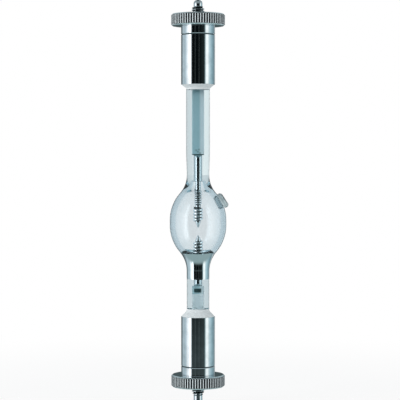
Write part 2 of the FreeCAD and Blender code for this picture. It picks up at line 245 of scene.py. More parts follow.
# %% [markdown]
# The studio
#
# A bright metal cylinder shows nothing of its own, only the room round it, so the room is the most
# important finish here. It is read from the bases in the photograph: a point of a cylinder whose
# surface looks an angle away from the viewer mirrors the room at twice that angle. There is a dark
# room in front, a tall soft box on each side, grey-green screens behind the boxes that fall off to
# dusk at the back, and a grey table below. The room is painted on the world as a ramp round the
# bearing, and two lamps in the same places light what doesn't shine.
#
# The camera doesn't see the room but a plain white background, also through the bulb. Behind the stems
# the background is brighter, and more so at the left. Rays that leave the glass after they were
# mirrored in it, by the sealed metal or by its own skin, see a changed room: it is brighter, its boxes
# reach higher and its back is pale. That isn't physics, but it gives the greys of the photograph.

# %% The room round the lamp
DARK_ROOM = (0.003, 0.005, 0.006)
LAMP_STAND = (0.13, 0.155, 0.16)
DUSK = (0.07, 0.1, 0.105)
LEFT_SCREEN = (0.66, 0.8, 0.88)
ROOM_POWER = 5.0
ROOM_STOPS = [
    (-180, DUSK),
    (-150, (0.1, 0.13, 0.14)),
    (-129, (0.4, 0.48, 0.52)),
    (-116, LEFT_SCREEN),
    (-108, (0.5, 0.61, 0.66)),
    (-96, LEFT_SCREEN),
    (-87, LEFT_SCREEN),
    (-83, (1.25, 1.3, 1.35)),
    (-68, (1.3, 1.35, 1.4)),
    (-59, (2.7, 2.8, 2.9)),
    (-52, (2.7, 2.8, 2.9)),
    (-48, (0.85, 0.9, 0.95)),
    (-43, DARK_ROOM),
    (-21, DARK_ROOM),
    (-19.5, LAMP_STAND),
    (-18, DARK_ROOM),
    (5.5, DARK_ROOM),
    (7, LAMP_STAND),
    (8.5, DARK_ROOM),
    (44, (0.02, 0.03, 0.03)),
    (49, (0.25, 0.36, 0.38)),
    (53, (0.8, 0.9, 0.91)),
    (58, (1.35, 1.42, 1.42)),
    (72, (1.35, 1.42, 1.42)),
    (79, (0.8, 0.96, 1.0)),
    (90, (0.62, 0.82, 0.9)),
    (104, (0.42, 0.62, 0.7)),
    (122, (0.27, 0.42, 0.48)),
    (138, (0.15, 0.24, 0.28)),
    (147, (0.8, 0.9, 0.95)),
    (158, DUSK),
    (180, DUSK),
]
ROOM_BOTTOM = -36.0
ROOM_TOP = 16.0
BOTTOM_BLUR = 0.12
TOP_BLUR = 0.07
TABLE = (0.36, 0.48, 0.5)
TABLE_GLOW = 0.13
TABLE_GLOW_STARTS = (-0.21, -0.17)
TABLE_GLOW_ENDS = (-0.13, -0.09)
CEILING = (0.36, 0.44, 0.47)
OVERHEAD = (0.03, 0.04, 0.045)
OVERHEAD_START = (0.86, 0.92)
SCATTERED = (0.5, 0.53, 0.55)

GLASS_TOP = 0.42
STEM_CROSSINGS = 2.5
STEM_GAIN = 0.4
BULB_GAIN = 0.3
PALE_BACK = (0.72, 0.8, 0.85)
BACKDROP_START = (0.2, 0.6)
SCATTERED_IN_GLASS = (2.3, 2.45, 2.5)
BACK_LEFT = (1.34, 1.3, 1.26)
BACK_RIGHT = (1.08, 1.06, 1.05)
BACK_CHANGE = (-0.3, 0.3)


def path_test(tree, name, operation="GREATER_THAN", limit=0.5):
    """1 where the ray's history passes a test, such as having been mirrored at least once."""
    return tree.maths(operation, tree.add("ShaderNodeLightPath", output=name), limit)


def only_passed_glass(tree):
    """1 for a ray from the camera, also after it passed through glass, and 0 once it was mirrored."""
    seen, passed = path_test(tree, "Is Camera Ray"), path_test(tree, "Is Transmission Ray")
    unmirrored = path_test(tree, "Glossy Depth", "LESS_THAN")
    unscattered = path_test(tree, "Diffuse Depth", "LESS_THAN")
    return (seen + passed) * unmirrored * unscattered


world = bpy.data.worlds.new("studio")
bpy.context.scene.world = world
room = Tree(world)
direction = room.add("ShaderNodeTexCoord", output="Generated")
across, away, upward = (room.part(direction, axis) for axis in "XYZ")
turn = room.maths("ARCTAN2", across, 0 - away)
stops = [(angle / 360 + 0.5, tuple(c / ROOM_POWER for c in colour)) for angle, colour in ROOM_STOPS]
ramp = room.add("ShaderNodeValToRGB", {"stops": stops}, {0: turn / math.tau + 0.5})
wall = room.vector("MULTIPLY", ramp, (ROOM_POWER, ROOM_POWER, ROOM_POWER))
low, high = (math.sin(math.radians(angle)) for angle in (ROOM_BOTTOM, ROOM_TOP))
glow = room.step(upward, *TABLE_GLOW_ENDS, TABLE_GLOW, 0.0) * room.step(upward, *TABLE_GLOW_STARTS)
wall = room.mix(glow, wall, TABLE)
wall = room.mix(room.step(upward, low - BOTTOM_BLUR, low + BOTTOM_BLUR), TABLE, wall)
from_glass = path_test(room, "Is Transmission Ray")
over_top = room.step(upward - from_glass * GLASS_TOP, high - TOP_BLUR, high + TOP_BLUR)
wall = room.mix(over_top, wall, CEILING)
wall = room.mix(room.step(upward, *OVERHEAD_START), wall, OVERHEAD)
through_stem = from_glass * path_test(room, "Transmission Depth", "LESS_THAN", STEM_CROSSINGS)
gain = 1 + from_glass * BULB_GAIN + through_stem * (STEM_GAIN - BULB_GAIN)
wall = room.add("ShaderNodeVectorMath", {"operation": "SCALE"}, {0: wall, "Scale": gain})
wall = room.mix(from_glass * room.step(away, *BACKDROP_START), wall, PALE_BACK)
scatter_light = room.mix(from_glass, SCATTERED, SCATTERED_IN_GLASS)
wall = room.mix(path_test(room, "Diffuse Depth"), wall, scatter_light)
behind_stem = room.mix(room.step(across, *BACK_CHANGE), BACK_LEFT, BACK_RIGHT)
behind = room.mix(through_stem, WHITE, behind_stem)
seen_plain = room.mix(only_passed_glass(room), wall, behind)
light = room.add("ShaderNodeBackground", {}, {"Color": seen_plain, "Strength": 1.0})
room.add("ShaderNodeOutputWorld", {}, {"Surface": light})
print("room with", len(ROOM_STOPS), "stops")

# %% The two soft boxes
BOX_DISTANCE = 0.8
BOX_TOP = 42.0
LEFT_BOX = (-85.0, -44.0, 2.4)
RIGHT_BOX = (50.0, 80.0, 1.4)
BOX_FOOT = 0.02
LAMP_MIDDLE = SPAN / 2
AREA_LAMP_SHARE = 4.0


def soft_box(name, first, last, light):
    """A rectangle that fills the given bearings, seen from the lamp, and stands from the table up.

    A bearing of a degrees from the viewer points along (sin a, -cos a). The width is twice the distance
    times the tangent of half the angle. A lamp's power is its brightness times its area times four.
    Mirrored rays see the painted box on the world instead.
    """
    middle, half = math.radians((first + last) / 2), math.radians((last - first) / 2)
    width = 2 * BOX_DISTANCE * math.tan(half)
    low = LAMP_MIDDLE + BOX_DISTANCE * math.tan(math.radians(ROOM_BOTTOM))
    low = max(low, CAD_BOX[0][2] + BOX_FOOT)
    high = LAMP_MIDDLE + BOX_DISTANCE * math.tan(math.radians(BOX_TOP))
    lamp = bpy.data.lights.new(name, "AREA")
    lamp.shape = "RECTANGLE"
    lamp.size, lamp.size_y = width, high - low
    lamp.energy = light * AREA_LAMP_SHARE * width * (high - low)
    place = (math.sin(middle) * BOX_DISTANCE, -math.cos(middle) * BOX_DISTANCE, (low + high) / 2)
    box = aimed(name, lamp, place, (0.0, 0.0, (low + high) / 2))
    box.visible_camera = box.visible_glossy = box.visible_transmission = False
    print(name, "width", round(width, 3), "m, height", round(high - low, 3), "m")


soft_box("left_soft_box", *LEFT_BOX)
soft_box("right_soft_box", *RIGHT_BOX)

# %% [markdown]
# Floor
#
# The lamp is shown upright, as it is mounted, so the floor lies just under its lower tip. The floor is
# pale and keeps the lamp's soft shadow, and it lets mirrored rays pass, so that bright metal shows the
# room and not a white floor. Away from the lamp it glows as white as the background, so that no horizon
# shows.

# %% Floor
FLOOR_DROP = 0.4 * MM
FLOOR_HALF = 3.0
FLOOR_TONE = (0.94, 0.94, 0.94)
SHADOW_SHARE = 0.16
SHADOW_REACH = (0.06, 0.2)

ground = CAD_BOX[0][2] - FLOOR_DROP
floor_mesh = bpy.data.meshes.new("floor")
sides = FLOOR_HALF * np.array([[-1, -1], [1, -1], [1, 1], [-1, 1]])
floor_mesh.from_pydata(np.column_stack([sides, np.full(4, ground)]).tolist(), [], [(0, 1, 2, 3)])
floor = shown("floor", floor_mesh)
floor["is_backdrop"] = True
floor_finish = bpy.data.materials.new("floor")
tree = Tree(floor_finish)
from_lamp = tree.from_axis(tree.place())
paint = tree.add("ShaderNodeBsdfDiffuse", {}, {"Color": FLOOR_TONE})
white = tree.add("ShaderNodeEmission", {}, {"Color": WHITE, "Strength": 1.0})
share = 1 - SHADOW_SHARE * tree.step(from_lamp, *SHADOW_REACH, 1.0, 0.0)
share = share * only_passed_glass(tree)
lit = tree.add("ShaderNodeMixShader", {}, {0: share, 1: paint, 2: white})
clear = tree.add("ShaderNodeBsdfTransparent")
mirrored = path_test(tree, "Glossy Depth")
ground_look = tree.add("ShaderNodeMixShader", {}, {0: mirrored, 1: lit, 2: clear})
tree.add("ShaderNodeOutputMaterial", {}, {"Surface": ground_look})
floor_mesh.materials.append(floor_finish)
print("floor at", round(ground / MM, 2), "mm")

# %% [markdown]
# Surfaces from arrays
#
# Nearly every piece of this lamp was turned, blown or wound, so its surface is a grid: rows along the
# outline and columns round the axis. The grid is worked out as a whole array and handed to the mesh.
# Rows that shrink to a point, and seams, are merged, so that each piece is closed.

# %% From a grid of points to a piece
MERGE = 1e-8
ROUND = 128
SMALL_ROUND = 64
FADE = 0.3 * MM


def quads(rows, columns, closed_rows):
    """Corner numbers of a grid's faces: a point, the next one round, and the two in the row above."""
    i, j = np.meshgrid(np.arange(rows if closed_rows else rows - 1), np.arange(columns), indexing="ij")
    above, beside = (i + 1) % rows, (j + 1) % columns
    corners = [i * columns + j, i * columns + beside, above * columns + beside, above * columns + j]
    return np.stack(corners, -1).reshape(-1, 4)


def skin(name, grid, closed_rows=False, sharp=35.0):
    """A closed mesh of one grid of points, with faces outwards and edges over the angle kept sharp."""
    rows, columns = grid.shape[:2]
    mesh = bpy.data.meshes.new(name)
    mesh.from_pydata(grid.reshape(-1, 3).tolist(), [], quads(rows, columns, closed_rows).tolist())
    form = bmesh.new()
    form.from_mesh(mesh)
    bmesh.ops.remove_doubles(form, verts=form.verts, dist=MERGE)
    bmesh.ops.dissolve_degenerate(form, edges=form.edges, dist=MERGE)
    bmesh.ops.recalc_face_normals(form, faces=form.faces)
    form.to_mesh(mesh)
    form.free()
    return shaded(mesh, sharp)


def shaded(mesh, sharp):
    mesh.polygons.foreach_set("use_smooth", np.ones(len(mesh.polygons), bool))
    mesh.set_sharp_from_angle(angle=math.radians(sharp))
    return mesh


def piece(name, mesh, finish, nodes, body="lamp"):
    """An object for a mesh in its place: its finish, its body and the nodes that it stands for."""
    thing = shown(name, mesh)
    mesh.materials.clear()
    mesh.materials.append(finish)
    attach(thing, body)
    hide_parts(*nodes)
    print(name, len(mesh.polygons), "faces")
    return thing


def round_angles(count=ROUND):
    return np.arange(count) * math.tau / count


def turned(outline, count=ROUND):
    """A grid from an outline of (radius, height) rows: x = r cos a, y = r sin a, z = height."""
    radius, height = np.asarray(outline, float).T
    angle = round_angles(count)
    return np.stack(
        [
            np.outer(radius, np.cos(angle)),
            np.outer(radius, np.sin(angle)),
            np.repeat(height[:, None], count, 1),
        ],
        -1,
    )


def ripple(points, size, seed, waves=24):
    """Smooth random unevenness of about -1 to 1, with bumps of a given size.

    It is a sum of plane waves cos(k . p + phase) with random directions, all seeded.
    """
    dice = np.random.default_rng(seed)
    ways = dice.normal(size=(waves, 3))
    length = np.linalg.norm(ways, axis=1)[:, None]
    ways *= (math.tau / size) * dice.uniform(0.6, 1.4, (waves, 1)) / length
    phases = dice.uniform(0, math.tau, waves)
    return np.cos(np.tensordot(points, ways.T, 1) + phases).sum(-1) / math.sqrt(waves)


print("grid helpers ready,", ROUND, "columns round a piece")

# %% [markdown]
# Outlines
#
# A turned part has flats, and each corner between them is broken by a small radius that catches the
# light. An outline is therefore a ring of corners that each carry a radius. A guard point next to each
# rounding keeps the flats beside it flat when the shading is smoothed.

# %% Rounded outlines
GUARD = 1.6
GUARD_LIMIT = 0.45


def rounded(corners, steps=5):
    """A closed outline of (radius, height, rounding) corners.

    The rounding starts rounding / tan(half the corner) before the corner. Its arc is a blend of its
    two end spokes by sines, and the guard points stand a little further out on both straight sides.
    """
    ring = np.array(corners, float)
    place, rounding = ring[:, :2], ring[:, 2]
    back, ahead = np.roll(place, 1, 0) - place, np.roll(place, -1, 0) - place
    back_length, ahead_length = np.linalg.norm(back, axis=1), np.linalg.norm(ahead, axis=1)
    back, ahead = back / back_length[:, None], ahead / ahead_length[:, None]
    half = np.arccos(np.clip((back * ahead).sum(1), -1, 1)) / 2
    reach = rounding / np.tan(half)
    inward = back + ahead
    inward /= np.linalg.norm(inward, axis=1)[:, None]
    centre = place + inward * (rounding / np.sin(half))[:, None]
    first, last = place + back * reach[:, None] - centre, place + ahead * reach[:, None] - centre
    sweep = (math.pi - 2 * half)[:, None, None]
    share = np.linspace(0, 1, steps)[None, :, None]
    arc = np.sin((1 - share) * sweep) * first[:, None] + np.sin(share * sweep) * last[:, None]
    arc = centre[:, None] + arc / np.sin(sweep)
    before = place + back * np.minimum(reach * GUARD, back_length * GUARD_LIMIT)[:, None]
    after = place + ahead * np.minimum(reach * GUARD, ahead_length * GUARD_LIMIT)[:, None]
    return np.concatenate([before[:, None], arc, after[:, None]], 1).reshape(-1, 2)


def bow(centre, start, end, steps):
    """Points of the shorter arc about a centre from start to end, as (radius, height) rows."""
    centre, start, end = (np.array(p, float) for p in (centre, start, end))
    a, b = (math.atan2(*(p - centre)[::-1]) for p in (start, end))
    b = a + (b - a + math.pi) % math.tau - math.pi
    angle = np.linspace(a, b, steps)
    size = np.linalg.norm(start - centre)
    return centre + size * np.column_stack([np.cos(angle), np.sin(angle)])


def straight(start, end, steps):
    return np.linspace(start, end, steps)


def chain(*runs):
    """One outline from runs of points that follow each other."""
    return np.concatenate(runs)


def placed(points, upper):
    """Both ends are drawn with the shoulder at the origin and +Z inwards; the upper is turned over."""
    if not upper:
        return points
    return points * np.array([-1, 1, -1]) + np.array([0, 0, SPAN])


print("outline helpers ready")

# %% [markdown]
# Finishes
#
# The nickel plate on both bases and nuts is bright but not perfect: it was polished while it turned, so
# it has fine rings, and handling left faint cloudy patches. Roughness carries the clouds and a very
# shallow bump carries the rings. The knurl's facets are finer than a pixel, so it is painted as a satin
# surface and not as a mirror, with a pale painted sheen on its rim and painted shade in its grooves. The
# seam under the collar and the roots of the thread carry painted shade too.

# %% Nickel plate


def standard(name, metallic, look):
    """A finish with one Principled shader.

    The look is a function that works out the colour, the roughness, the relief and, where it varies,
    how metallic the surface is.
    """
    finish = bpy.data.materials.new(name)
    tree = Tree(finish)
    values = zip(("Base Color", "Roughness", "Normal", "Metallic"), look(tree, tree.place()))
    shader = tree.add("ShaderNodeBsdfPrincipled", {}, {"Metallic": metallic, **dict(values)})
    tree.add("ShaderNodeOutputMaterial", {}, {"Surface": shader})
    return finish


NICKEL = ((0.70, 0.735, 0.75), (0.58, 0.61, 0.62))
CLOUD_EDGES = (0.35, 0.75)
SEAM_AND_THREAD_SHADE = (0.07, 0.085, 0.09)
SEAM_SHADE_REACH = (0.1 * MM, 0.22 * MM)
PAINTED_SHEEN = (0.88, 0.96, 0.97)
GROOVE_SHADE = (0.02, 0.025, 0.03)
COLLAR_LENGTH = 2.75 * MM
STUD = 2.0 * MM
STUD_POINT = 1.36 * MM
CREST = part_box("lower_nut")[1].x
KNURL_DEPTH = 0.32 * MM
NUT_THICKNESS = 3.7 * MM


def from_both_ends(tree, place, length):
    """How far a point's height is from the heights that lie a length inside the two shoulders."""
    from_middle = tree.maths("ABSOLUTE", tree.part(place, "Z") - SPAN / 2)
    return tree.maths("ABSOLUTE", from_middle - (SPAN / 2 - length))


def turned_nickel(tree, place):
    """Bright plate, with painted shade in the seam under the collar and in the roots of the thread."""
    clouds = tree.noise(place, 420.0, 3.0)
    rings = tree.streaks(place, (60.0, 60.0, 9000.0), 2.0)
    lines = tree.streaks(place, (1500.0, 1500.0, 90.0), 1.0)
    distance = tree.from_axis(place)
    # Painted shade: the seam under the collar and the roots of the thread are darkened in the colour.
    seam = tree.step(from_both_ends(tree, place, COLLAR_LENGTH), *SEAM_SHADE_REACH, 1.0, 0.0)
    thread = tree.step(distance, 0.92 * STUD, 0.98 * STUD, 1.0, 0.0)
    thread = thread * tree.step(distance, STUD_POINT, 1.04 * STUD_POINT)
    plate = tree.mix(tree.step(clouds, *CLOUD_EDGES), *NICKEL)
    return (
        tree.mix(seam + thread, plate, SEAM_AND_THREAD_SHADE),
        0.05 + clouds * 0.06 + tree.step(lines, 0.6, 0.8) * 0.05,
        tree.bump(rings, 0.00002 * MM, 0.6),
    )


def knurled_nickel(tree, place):
    """As the plain plate on the faces, with a pale painted sheen on the outer rim, satin on the knurl's
    crests, and painted shade in its grooves.
    """
    clouds = tree.noise(place, 500.0, 3.0)
    grain = tree.noise(place, 9000.0, 2.0)
    distance = tree.from_axis(place)
    half = NUT_THICKNESS / 2
    from_middle = from_both_ends(tree, place, -half)
    rim = tree.step(distance, CREST - 1.5 * KNURL_DEPTH, CREST - 1.2 * KNURL_DEPTH)
    knurl = tree.step(from_middle, half - 0.4 * MM, half - 0.25 * MM, 1.0, 0.0) * rim
    # Painted shade: the knurl's grooves are darkened in the colour.
    deep, shallow = CREST - 0.07 * KNURL_DEPTH, CREST - 0.01 * KNURL_DEPTH
    groove = tree.step(distance, deep, shallow, 1.0, 0.0) * knurl
    # Painted sheen: the outer rim, knurl and chamfers, takes a pale teal colour in place of mirrored
    # light.
    plate = tree.mix(rim, tree.mix(tree.step(clouds, *CLOUD_EDGES), *NICKEL), PAINTED_SHEEN)
    return (
        tree.mix(groove, plate, GROOVE_SHADE),
        0.07 + clouds * 0.08 + rim * 0.2 + groove * 0.4,
        tree.bump(grain, 0.001 * MM, 0.5),
        1 - knurl,
    )


nickel = standard("nickel_plate", 1.0, turned_nickel)
knurled = standard("nickel_knurl", 0.0, knurled_nickel)
print("nickel finishes ready")

# %% [markdown]
# Quartz
#
# Quartz is clear glass with a low index. Long paths through it darken a little, which an absorbing
# volume does by itself: the rim of the bulb, where a ray runs along the wall, comes out greyer. The
# drawn stems carry faint lengthwise lines, and the sealed exhaust tip is rough where it was melted off.

# %% Quartz
QUARTZ_INDEX = 1.458
QUARTZ_TINT = (0.4, 0.565, 0.61)
QUARTZ_DENSITY = 150.0
QUARTZ_PALE = (0.985, 0.99, 1.0)
QUARTZ_MELTED = (0.34, 0.41, 0.43)
BULB_RADIUS = 8.78 * MM
BELLY_LOW = 46.57 * MM
BELLY_HIGH = 48.15 * MM
BUTTON_RADIUS = 2.55 * MM
BUTTON_THICKNESS = 2.0 * MM
BUTTON_CENTRE = np.array([BULB_RADIUS - 1.18 * MM, 0.0, BELLY_HIGH + 6.1 * MM])
BUTTON_TILT = math.radians(33.0)
BUTTON_AXIS = np.array([math.cos(BUTTON_TILT), 0.0, math.sin(BUTTON_TILT)])
MELTED_REACH = (3.1 * MM, 3.5 * MM)
MELTED_START = (-0.5 * MM, 0.1 * MM)

quartz = bpy.data.materials.new("fused_quartz")
tree = Tree(quartz)
place = tree.place()
drawn = tree.streaks(place, (900.0, 900.0, 25.0), 1.0)
tip = tuple(BUTTON_CENTRE + BUTTON_AXIS * 0.5 * BUTTON_THICKNESS)
from_tip = tree.vector("DISTANCE", place, tip, "Value")
along = tree.vector("DOT_PRODUCT", place, tuple(BUTTON_AXIS), "Value")
along = along - float(BUTTON_CENTRE @ BUTTON_AXIS)
melted = tree.step(from_tip, *MELTED_REACH, 1.0, 0.0) * tree.step(along, *MELTED_START)
crumbs = tree.noise(place, 2600.0, 2.0)
height = drawn * 0.12 + melted * crumbs * 5.0
shader = tree.add(
    "ShaderNodeBsdfPrincipled",
    {},
    {
        "Base Color": tree.mix(melted, QUARTZ_PALE, QUARTZ_MELTED),
        "Transmission Weight": 1.0,
        "IOR": QUARTZ_INDEX,
        "Roughness": melted * 0.3,
        "Normal": tree.bump(height, 0.02 * MM, 0.5),
    },
)
haze = tree.add("ShaderNodeVolumeAbsorption", {}, {"Color": QUARTZ_TINT, "Density": QUARTZ_DENSITY})
tree.add("ShaderNodeOutputMaterial", {}, {"Surface": shader, "Volume": haze})
print("quartz finish ready")

# %% [markdown]
# Tungsten, molybdenum, solder, mercury, cement and the coating
#
# Drawn tungsten rod is bright, with fine lines along its length, and has painted shade where a winding
# covers it; each winding has painted shade where it turns in to the rod.
# The foil is rolled molybdenum, so satin that it is painted with only a little metal in it. Cement is a
# pale, matt paste with a sandy grain. The coating is a thin metal film, as bright as a mirror but greyer
# than nickel, and slightly uneven where it was brushed on.

# %% The other finishes
ROD = 0.85 * MM
TIP_WIRE_SIZE = 0.72 * MM
SHANK_WIRE_SIZE = 0.38 * MM
WOUND_HEIGHTS = ((37.4 * MM, 41.7 * MM), (47.9 * MM, 52.2 * MM), (52.7 * MM, 57.4 * MM))
MARK_EDGE = 0.05 * MM
FOIL_SHEEN_BELOW = 25.2 * MM
FOIL_SHEEN_RIGHT = (0.1 * MM, 0.7 * MM)
FOIL_STAIN = (25.65 * MM, 26.9 * MM)
FOIL_STAIN_ACROSS = (-0.875 * MM, 0.675 * MM)
UPPER_FOIL_END = SPAN - 40.0 * MM
WELD_DOT = (0.14 * MM, 0.32 * MM)
WELDS = ((-0.42, 0.6), (0.05, 1.0), (-0.2, 1.7), (0.4, 1.5))

DRAWN = ((0.62, 0.65, 0.66), (0.78, 0.8, 0.81))
ROD_SHADE_UNDER_WINDING = (0.06, 0.08, 0.08)
WIRE = ((0.9, 0.92, 0.93), WHITE)
WIRE_SHADE_INSIDE = (0.01, 0.02, 0.02)
FOIL = ((0.44, 0.62, 0.66), (0.51, 0.69, 0.72))
FOIL_MARK = (0.05, 0.1, 0.1)
CEMENT = ((0.62, 0.66, 0.67), (0.78, 0.81, 0.81))
SOLDER = ((0.55, 0.57, 0.58), (0.74, 0.76, 0.77))
REFLECTOR = ((0.62, 0.68, 0.69), (0.72, 0.77, 0.78))
MERCURY = ((0.76, 0.78, 0.8), (0.84, 0.86, 0.88))


def drawn_rod(tree, place):
    lines = tree.streaks(place, (6000.0, 6000.0, 250.0), 2.0)
    patches = tree.noise(place, 900.0, 2.0)
    return tree.mix(patches, *DRAWN), 0.1 + patches * 0.12, tree.bump(lines, 0.0015 * MM, 0.5)


def wound_rod(tree, place):
    """As the bare rod, but with painted shade between the heights where windings cover it."""
    colour, roughness, relief = drawn_rod(tree, place)
    height = tree.part(place, "Z")
    # Painted shade: the rod is darkened under the windings, so the gaps between turns look dark.
    covered = sum(tree.band(height, low, high, MARK_EDGE) for low, high in WOUND_HEIGHTS)
    return tree.mix(covered, colour, ROD_SHADE_UNDER_WINDING), roughness, relief


def wound_wire(wire_size):
    """The finish of a winding, bright outside and with painted shade where the wire turns in to the rod.
    """
    middle = ROD + wire_size / 2

    def look(tree, place):
        patches = tree.noise(place, 1800.0, 2.0)
        lines = tree.streaks(place, (300.0, 300.0, 22000.0), 1.0)
        # Painted shade: the wire is darkened where it turns in to the rod.
        outside = tree.step(tree.from_axis(place), middle - 0.05 * wire_size, middle + 0.3 * wire_size)
        return (
            tree.mix(outside, WIRE_SHADE_INSIDE, tree.mix(patches, *WIRE)),
            0.1 + patches * 0.06,
            tree.bump(lines, 0.02 * MM, 1.0),
        )

    return look


def rolled_foil(tree, place):
    """Satin metal with a painted sheen towards +X, with the stain of the weld heat and dark weld dots.

    The lower foil carries a painted sheen below its weld. A weld dot lies on the foil at a place
    across and a length below the end, so its mask is the distance from that point.
    """
    lines = tree.streaks(place, (4000.0, 4000.0, 60.0), 2.0)
    patches = tree.noise(place, 500.0, 2.0)
    across, height = tree.part(place, "X"), tree.part(place, "Z")
    # Painted sheen: the lower foil is paler below its weld, and every foil is paler towards +X.
    pale = tree.step(height, FOIL_SHEEN_BELOW - 0.1 * MM, FOIL_SHEEN_BELOW + 0.1 * MM, 0.85, 0.0)
    colour = tree.mix(pale, tree.mix(patches, *FOIL), WHITE)
    colour = tree.mix(tree.step(across, *FOIL_SHEEN_RIGHT, 0.0, 0.7), colour, WHITE)
    stain = tree.band(height, *FOIL_STAIN, MARK_EDGE)
    stain = stain * tree.band(across, *FOIL_STAIN_ACROSS, MARK_EDGE / 2)
    marks = tree.step(height, UPPER_FOIL_END - 0.3 * MM, UPPER_FOIL_END)
    marks = marks * tree.step(height, UPPER_FOIL_END + 0.25 * MM, UPPER_FOIL_END + 0.4 * MM, 1.0, 0.0)
    for x, up in WELDS:
        away = tree.vector("DISTANCE", place, (-x * MM, 0.0, UPPER_FOIL_END + up * MM), "Value")
        marks = marks + tree.step(away, *WELD_DOT, 0.5, 0.0)
    return (
        tree.mix(stain + marks, colour, FOIL_MARK),
        0.6 + lines * 0.1,
        tree.bump(lines, 0.002 * MM, 0.4),
    )


def packed_cement(tree, place):
    sand = tree.noise(place, 5200.0, 3.0, 0.6)
    return (
        tree.mix(tree.noise(place, 700.0, 2.0), *CEMENT),
        0.55 + sand * 0.25,
        tree.bump(sand, 0.03 * MM, 0.6),
    )


def melted_solder(tree, place):
    flow = tree.noise(place, 1500.0, 2.0)
    return tree.mix(flow, *SOLDER), 0.12 + flow * 0.14, tree.bump(flow, 0.02 * MM, 0.4)


def fired_coating(tree, place):
    brushed = tree.streaks(place, (700.0, 700.0, 260.0), 3.0)
    return (
        tree.mix(brushed, *REFLECTOR),
        0.06 + brushed * 0.08,
        tree.bump(brushed, 0.002 * MM, 0.5),
    )


def quicksilver(tree, place):
    film = tree.noise(place, 1200.0, 2.0)
    return tree.mix(film, *MERCURY), 0.02 + film * 0.04


tungsten = standard("tungsten", 1.0, wound_rod)
coarse_wire = standard("tungsten_coarse_wire", 1.0, wound_wire(TIP_WIRE_SIZE))
fine_wire = standard("tungsten_fine_wire", 1.0, wound_wire(SHANK_WIRE_SIZE))
molybdenum = standard("molybdenum_foil", 0.2, rolled_foil)
lead_rod = standard("molybdenum_rod", 1.0, drawn_rod)
cement_finish = standard("base_cement", 0.0, packed_cement)
solder_finish = standard("solder", 1.0, melted_solder)
coating_finish = standard("reflector_metal", 1.0, fired_coating)
mercury_finish = standard("mercury", 1.0, quicksilver)
print("finishes ready")

# %% [markdown]
# Bulb and stems
#
# The quartz envelope was blown and collapsed from one tube, so its outline has no corners: a short
# straight belly, an arc that closes it and a hollow arc that runs out on the stem, at each side. Inside
# is the hollow, whose wall keeps an even distance and closes to a neck round each electrode. Only the
# two skins of the glass are made. The metal that is sealed in it simply lies inside the glass, so a ray
# in the glass meets it at once, as in the real seal.

# %% Outline of the envelope
LOWER_STEM = 3.48 * MM
UPPER_STEM = 3.68 * MM
UPPER_NECK = 3.47 * MM
BELLY_ARC = 12.8 * MM
LOWER_NECK_ARC = 9.15 * MM
UPPER_NECK_ARC = 8.4 * MM
UPPER_NECK_LENGTH = 0.9 * MM
UPPER_TAPER_LENGTH = 6.0 * MM
WALL = 1.6 * MM
HOLLOW_NECK = 1.6 * MM
HOLLOW_NECK_ARC = 4.0 * MM
HOLLOW_LOW = 34.6 * MM
HOLLOW_HIGH = 60.12 * MM
HOLLOW_END_ARC = 0.15 * MM
STEM_EDGE = 0.25 * MM
ENVELOPE_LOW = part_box("quartz_envelope")[0].z
ENVELOPE_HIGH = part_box("quartz_envelope")[1].z


def side_of_bulb(belly, neck, belly_arc, neck_arc, height, way, steps):
    """One side of the bulb from the belly's edge out to the neck, as two arcs that touch smoothly.

    The centres lie belly_arc + neck_arc apart, so the neck's centre is that far along the slope, and
    the arcs meet on the line between the centres. way is 1 above the belly and -1 below it.
    """
    across = neck + neck_arc - belly + belly_arc
    rise = math.sqrt((belly_arc + neck_arc) ** 2 - across**2)
    first = np.array([belly - belly_arc, height])
    second = np.array([neck + neck_arc, height + way * rise])
    meeting = first + (second - first) * belly_arc / (belly_arc + neck_arc)
    upper = bow(first, (belly, height), meeting, steps)
    lower = bow(second, meeting, (neck, second[1]), steps)
    return chain(upper, lower[1:])


def hollow_end(height, way):
    """The hollow's flat end at a height and the small arc to its straight neck."""
    edge = HOLLOW_NECK - HOLLOW_END_ARC
    centre = (edge, height + way * HOLLOW_END_ARC)
    return chain([(0.0, height)], bow(centre, (edge, height), (HOLLOW_NECK, centre[1]), 5))


lower_side = side_of_bulb(BULB_RADIUS, LOWER_STEM, BELLY_ARC, LOWER_NECK_ARC, BELLY_LOW, -1, 48)
upper_side = side_of_bulb(BULB_RADIUS, UPPER_NECK, BELLY_ARC, UPPER_NECK_ARC, BELLY_HIGH, 1, 48)
neck_top = upper_side[-1][1] + UPPER_NECK_LENGTH
taper_top = (UPPER_STEM, neck_top + UPPER_TAPER_LENGTH)
outer_outline = chain(
    [(0.0, ENVELOPE_LOW), (LOWER_STEM - STEM_EDGE, ENVELOPE_LOW)],
    [(LOWER_STEM, ENVELOPE_LOW + STEM_EDGE)],
    straight((LOWER_STEM, ENVELOPE_LOW + 2 * STEM_EDGE), lower_side[-1], 24),
    lower_side[::-1][1:],
    upper_side,
    straight((UPPER_NECK, neck_top), taper_top, 12),
    straight(taper_top, (UPPER_STEM, ENVELOPE_HIGH - 2 * STEM_EDGE), 30)[1:],
    [(UPPER_STEM, ENVELOPE_HIGH - STEM_EDGE), (UPPER_STEM - STEM_EDGE, ENVELOPE_HIGH)],
    [(0.0, ENVELOPE_HIGH)],
)
hollow_arcs = (BULB_RADIUS - WALL, HOLLOW_NECK, BELLY_ARC - WALL, HOLLOW_NECK_ARC)
hollow_lower = side_of_bulb(*hollow_arcs, BELLY_LOW, -1, 40)
hollow_upper = side_of_bulb(*hollow_arcs, BELLY_HIGH, 1, 40)
hollow_outline = chain(
    hollow_end(HOLLOW_LOW, 1),
    hollow_lower[::-1],
    hollow_upper[1:],
    hollow_end(HOLLOW_HIGH, -1)[::-1],
)
print("outline rows", len(outer_outline), "hollow rows", len(hollow_outline))

